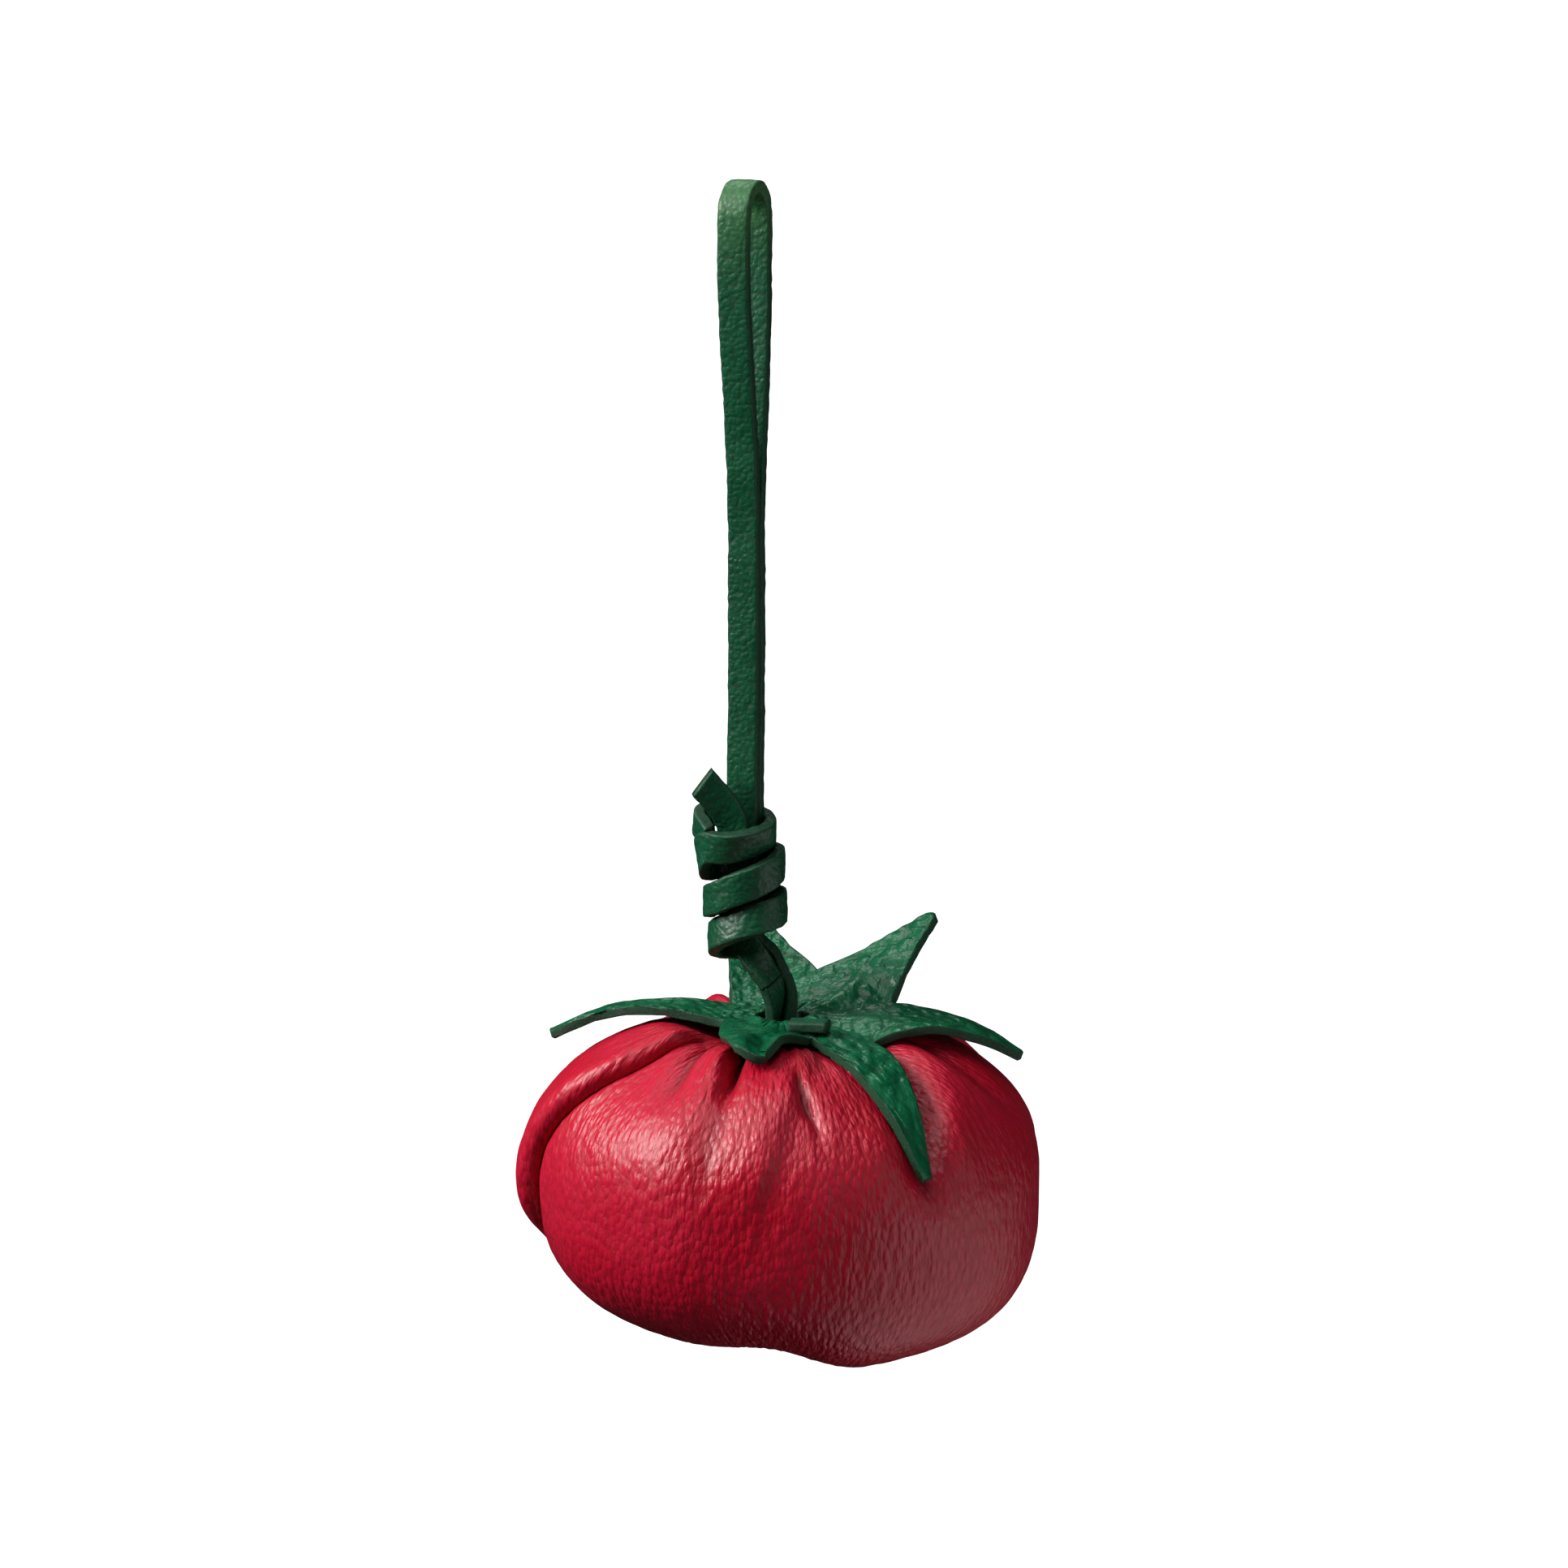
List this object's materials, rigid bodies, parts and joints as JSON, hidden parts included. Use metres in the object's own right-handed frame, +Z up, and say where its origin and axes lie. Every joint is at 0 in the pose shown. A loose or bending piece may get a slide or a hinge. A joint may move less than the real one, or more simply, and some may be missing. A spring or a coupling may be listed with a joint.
{
  "type": "tomato pincushion",
  "caption": "Stuffed leather tomato with a pointed leather calyx, hanging from a flat leather lace loop tied with a wrapped sliding knot.",
  "frame": {"origin": "underside of the strap's top fold, the point that a hook bears on", "axes": "+Z up along the hanging strap, +X to the right and -Y towards the front, where the keeper knot's cut tail and the gathered pleats show"},
  "size_m": [0.0743, 0.0674, 0.1731],
  "materials": {
    "red_leather": "satin",
    "green_leather": "satin",
    "stuffing_fibre": "matte",
    "waxed_thread": "matte"
  },
  "bodies": {
    "hook_end": {"strap_loop": "green_leather"},
    "strap_lower": {"strap_lower_front": "green_leather", "strap_lower_back": "green_leather"},
    "keeper": {"keeper_wraps": "green_leather", "keeper_tail": "green_leather"},
    "neck_lace": {"neck_lace_upper_front": "green_leather", "neck_lace_upper_back": "green_leather", "neck_lace_lower_front": "green_leather", "neck_lace_lower_back": "green_leather"},
    "tomato": {"inner_lace_front": "green_leather", "inner_lace_back": "green_leather", "stopper_knot": "green_leather", "lace_cut_end": "green_leather", "calyx": "green_leather", "tomato_skin": "red_leather", "fibre_stuffing": "stuffing_fibre", "gather_thread": "waxed_thread", "tuft_thread": "waxed_thread", "base_thread_knot": "waxed_thread"}
  },
  "joints": [
    {"name": "strap_twist", "type": "hinge", "parent": "hook_end", "child": "strap_lower", "pos_m": [0, 0, -0.0502], "axis": [0, 0, 1], "range_deg": [-90, 90]},
    {"name": "keeper_slide", "type": "slide", "parent": "strap_lower", "child": "keeper", "axis": [0, 0, 1], "range_m": [0, 0.03]},
    {"name": "lace_sway", "type": "hinge", "parent": "strap_lower", "child": "neck_lace", "pos_m": [0, 0, -0.1082], "axis": [1, 0, 0], "range_deg": [-25, 25]},
    {"name": "tomato_swing", "type": "hinge", "parent": "neck_lace", "child": "tomato", "pos_m": [0.00538, 0, -0.11859], "axis": [0, 1, 0], "range_deg": [-25, 14]}
  ]
}
